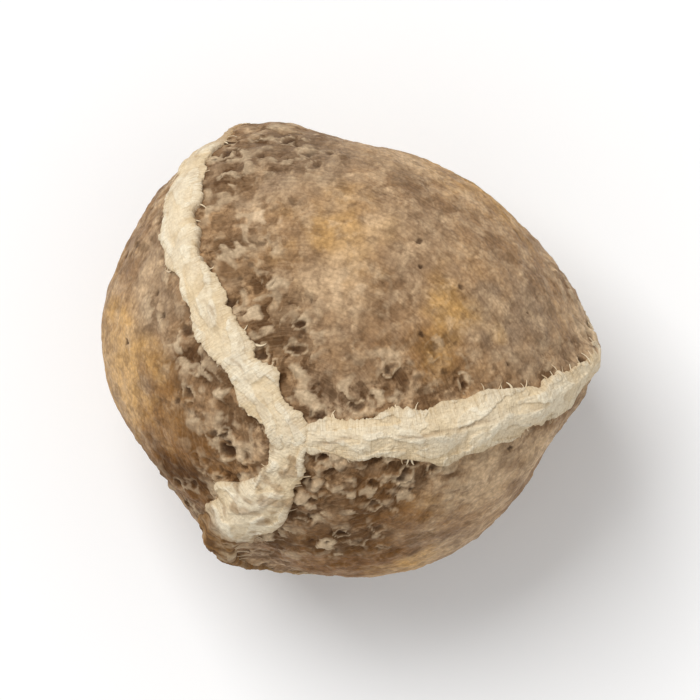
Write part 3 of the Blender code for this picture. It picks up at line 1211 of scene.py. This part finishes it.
def coatMaterial():
    look = coatLook
    material, tree, shader = makeMaterial("seed_coat", look["specular"])
    place = placeGroup(tree, "millimetres", {})
    grain = placeGroup(tree, "grain", {"Place": place, "Size": look["grainSize"]})
    turn = markNode(tree, "turn")
    striae = {"Along": markNode(tree, "along"), "Across": markNode(tree, "across"), "Turn": turn}
    lines = placeGroup(tree, "striae", striae)
    amber = markNode(tree, "amber")
    rough = markNode(tree, "rough")
    knots = markNode(tree, "knots")

    # patches and pale blotches, which are fewer in the amber patches
    shares = look["patchShares"].items()
    layers = [(timesNode(tree, markNode(tree, name), share), name) for name, share in shares]
    pale = spreadNode(tree, amber, 0.0, 1.0, *look["paleShares"])
    layers.append((timesNode(tree, mottleNode(tree, place, look["paleBlotches"]), pale), "bleachedAndLit"))

    # dark blotches, dusky patches, and painted shade on what lies low between granules and knots
    blotches = spreadNode(tree, rough, 0.1, 0.8, *look["darkShares"])
    dusky = mathNode(tree, "POWER", markNode(tree, "dusky"), look["duskyPower"])
    gaps = timesNode(tree, markNode(tree, "gaps"), rough)
    sunk = spreadNode(tree, knots, 0.34, 0.48, look["sunkShare"], 0.0)
    shade = highestNode(
        tree,
        timesNode(tree, mottleNode(tree, place, look["darkBlotches"]), blotches),
        timesNode(tree, dusky, look["duskyShare"]),
        timesNode(tree, gaps, look["gapShare"]),
        timesNode(tree, sunk, rough),
    )

    # pale knots, flecks and granules, which stand up, then lines, pits and the scar
    raised = spreadNode(tree, knots, 0.58, 0.76, 0.0, look["raisedShare"])
    raised = timesNode(tree, raised, spreadNode(tree, amber, 0.0, 1.0, *look["raisedShares"]))
    flecks = spreadNode(tree, knots, 0.52, 0.68, 0.0, look["fleckShare"])
    crests = spreadNode(tree, markNode(tree, "crests"), 0.25, 0.9)
    layers += [
        (shade, "dusky"),
        (timesNode(tree, raised, rough), "crest"),
        (timesNode(tree, flecks, markNode(tree, "flecked")), "fleck"),
        (timesNode(tree, crests, spreadNode(tree, rough, 0.15, 0.8, 0.0, look["crestShare"])), "crest"),
        (spreadNode(tree, lines, 0.5, 0.7, 0.0, look["lightLines"]), "bleachedAndLit"),
        (spreadNode(tree, lines, 0.3, 0.5, look["darkLines"], 0.0), "dusky"),
        (spreadNode(tree, markNode(tree, "pits"), 0.08, 0.7, 0.0, look["pitShare"]), "pit"),
        (markNode(tree, "scar"), "scar"),
    ]
    ground = mixNode(tree, mottleNode(tree, place, look["tanBlotches"]), look["taupe"], look["tan"])
    colour = layeredNode(tree, ground, look, layers)
    feed(tree, shader.inputs["Base Color"], grainedNode(tree, colour, grain, look))
    feed(tree, shader.inputs["Roughness"], spreadNode(tree, shade, 0.0, 1.0, *look["roughness"]))
    addBump(tree, shader, mathNode(tree, "ADD", grain, timesNode(tree, lines, look["lineBump"])))
    return material


stumpLook = {
    "cream": srgb(244, 227, 196),
    "white": srgb(253, 243, 219),
    "straw": srgb(238, 216, 178),
    "bare": srgb(172, 134, 88),
    # real soil, and the painted shade on the second stump's span
    "soilAndShade": srgb(153, 113, 66),
    # dirt between shreds, and painted shade there
    "grimeAndShade": srgb(101, 69, 36),
    # painted shade along the creases
    "crease": srgb(158, 126, 90),
    "edge": srgb(200, 172, 130),
    "creamBlotches": (0.9, 0.47, 0.15),  # size in millimetres, threshold and softness
    "stainBlotches": (0.16, 0.6, 0.07),
    "lengthLines": {"Width": 0.03, "Length": 0.35},  # fibres along the stump
    "crossLines": {"Width": 0.035, "Length": 0.4},  # and across it, out to its edge
    "whiteShare": 0.7,
    "shredShare": 0.25,
    "lineShare": 0.3,
    "stainShare": 0.3,
    "creaseShadeShare": 0.5,
    "frayedShares": (0.15, 0.6),  # along the middle and at the edge
    "edgeShare": 0.3,
    "soilAndShadeShare": 0.9,
    "grimeAndShadeShare": 0.7,
    "lengthBump": 0.5,
    "crossBump": 0.9,
    "grainSize": 0.04,
    "grainShare": 0.25,
    "grainShade": srgb(170, 160, 150),
    "roughness": 0.85,
    "specular": 0.2,
}


def stumpMaterial():
    look = stumpLook
    material, tree, shader = makeMaterial("wing_stump", look["specular"])
    place = placeGroup(tree, "millimetres", {})
    grain = placeGroup(tree, "grain", {"Place": place, "Size": look["grainSize"]})
    along = markNode(tree, "along")
    offset = markNode(tree, "offset")
    shreds = markNode(tree, "shreds")
    soilAndShade = markNode(tree, "soilAndShade")
    lines = placeGroup(tree, "striae", {"Along": offset, "Across": along, **look["lengthLines"]})
    frayed = placeGroup(tree, "striae", {"Along": along, "Across": offset, **look["crossLines"]})

    # painted shade between shreds and fibres, with stains, and darker where the edge frays
    valleys = highestNode(
        tree,
        spreadNode(tree, shreds, 0.25, 0.45, look["shredShare"], 0.0),
        spreadNode(tree, lines, 0.3, 0.45, look["lineShare"], 0.0),
        timesNode(tree, mottleNode(tree, place, look["stainBlotches"]), look["stainShare"]),
    )
    rim = spreadNode(tree, markNode(tree, "rim"), 0.0, 1.0, *look["frayedShares"])
    # darker between shreds: dirt in the hollows, and painted shade
    grimeAndShade = spreadNode(tree, shreds, 0.35, 0.6, look["grimeAndShadeShare"], 0.0)

    # soil and the second stump's painted shade are darker between shreds, partly dirt in the hollows and
    # partly painted shade, and the coat is bare where a stump is worn flush
    layers = (
        (spreadNode(tree, markNode(tree, "plates"), 0.3, 0.9, 0.0, look["whiteShare"]), "white"),
        (valleys, "edge"),
        # painted shade along the crease
        (timesNode(tree, markNode(tree, "crease"), look["creaseShadeShare"]), "crease"),
        (timesNode(tree, rim, spreadNode(tree, frayed, 0.36, 0.52, 1.0, 0.0)), "edge"),
        (timesNode(tree, markNode(tree, "edge"), look["edgeShare"]), "edge"),
        (timesNode(tree, soilAndShade, look["soilAndShadeShare"]), "soilAndShade"),
        (timesNode(tree, soilAndShade, grimeAndShade), "grimeAndShade"),
        (markNode(tree, "flush"), "bare"),
    )
    paper = mixNode(tree, mottleNode(tree, place, look["creamBlotches"]), look["straw"], look["cream"])
    colour = layeredNode(tree, paper, look, layers)
    feed(tree, shader.inputs["Base Color"], grainedNode(tree, colour, grain, look))
    feed(tree, shader.inputs["Roughness"], look["roughness"])
    height = mathNode(tree, "ADD", grain, timesNode(tree, lines, look["lengthBump"]))
    height = mathNode(tree, "ADD", height, timesNode(tree, frayed, look["crossBump"]))
    addBump(tree, shader, height)
    return material


fibreLook = {
    "pale": srgb(240, 222, 190),
    "brown": srgb(176, 142, 102),
    "blotches": (0.15, 0.5, 0.15),
    "roughness": 0.8,
    "specular": 0.2,
}


def fibreMaterial():
    look = fibreLook
    material, tree, shader = makeMaterial("torn_fibre", look["specular"])
    mottles = mottleNode(tree, placeGroup(tree, "millimetres", {}), look["blotches"])
    brown = timesNode(tree, markNode(tree, "tone"), spreadNode(tree, mottles, 0.0, 1.0, 0.5, 1.0))
    feed(tree, shader.inputs["Base Color"], mixNode(tree, brown, look["pale"], look["brown"]))
    feed(tree, shader.inputs["Roughness"], look["roughness"])
    return material


floorLook = {
    "size": 0.6,  # metres
    "colour": (0.93, 0.93, 0.93, 1.0),
    "roughness": 0.9,
    "specular": 0.1,
}


def makeFloor():
    bpy.ops.mesh.primitive_plane_add(size=floorLook["size"])
    floor = bpy.context.object
    floor.name = "pale_floor"
    material, tree, shader = makeMaterial("pale_floor", floorLook["specular"])
    feed(tree, shader.inputs["Base Color"], floorLook["colour"])
    feed(tree, shader.inputs["Roughness"], floorLook["roughness"])
    floor.data.materials.append(material)


studio = {
    "worldLevel": 0.60,
    "keyEnergy": 1.83,  # watts
    "keySize": 0.27,  # metres, as is its place
    "keyPlace": (-0.16, 0.215, 0.452),
}


def makeStudio(target):
    # a soft key light from the upper left in an even, pale room
    world = bpy.data.worlds.new("studio")
    world.use_nodes = True
    background = world.node_tree.nodes["Background"]
    background.inputs["Color"].default_value = (1.0, 1.0, 1.0, 1.0)
    background.inputs["Strength"].default_value = studio["worldLevel"]
    bpy.context.scene.world = world
    light = bpy.data.lights.new("key", "AREA")
    light.size = studio["keySize"]
    light.energy = studio["keyEnergy"]
    lamp = bpy.data.objects.new("key", light)
    bpy.context.scene.collection.objects.link(lamp)
    place = Vector(studio["keyPlace"])
    lamp.location = place
    lamp.rotation_euler = (target - place).to_track_quat("-Z", "Y").to_euler()
    bpy.context.scene.view_settings.view_transform = "Standard"


cameraView = {
    "frameWidth": 15.4,  # millimetres of the seed's middle level that the picture is wide
    "distance": 0.24,  # metres, as are the limits
    "clipStart": 0.005,
    "clipEnd": 5.0,
    "sensor": 36.0,  # millimetres
}


def makeCamera(middle):
    # straight above, as the photograph was taken
    data = bpy.data.cameras.new("camera")
    data.sensor_width = cameraView["sensor"]
    data.lens = cameraView["sensor"] * cameraView["distance"] / (cameraView["frameWidth"] * mm)
    data.clip_start = cameraView["clipStart"]
    data.clip_end = cameraView["clipEnd"]
    camera = bpy.data.objects.new("camera", data)
    bpy.context.scene.collection.objects.link(camera)
    camera.location = (middle.x, middle.y, middle.z + cameraView["distance"])
    bpy.context.scene.camera = camera


boxMiddle = (Vector(cadBox[0]) + Vector(cadBox[1])) / 2.0
makeCamera(boxMiddle)
makeCoat(coatMaterial())
stumpFinish = stumpMaterial()
for stumpNumber in range(3):
    makeWingStump(stumpNumber, stumpFinish)
makeTornFibres(fibreMaterial())
makeFloor()
makeStudio(boxMiddle)
print("floor, lights and camera ready")
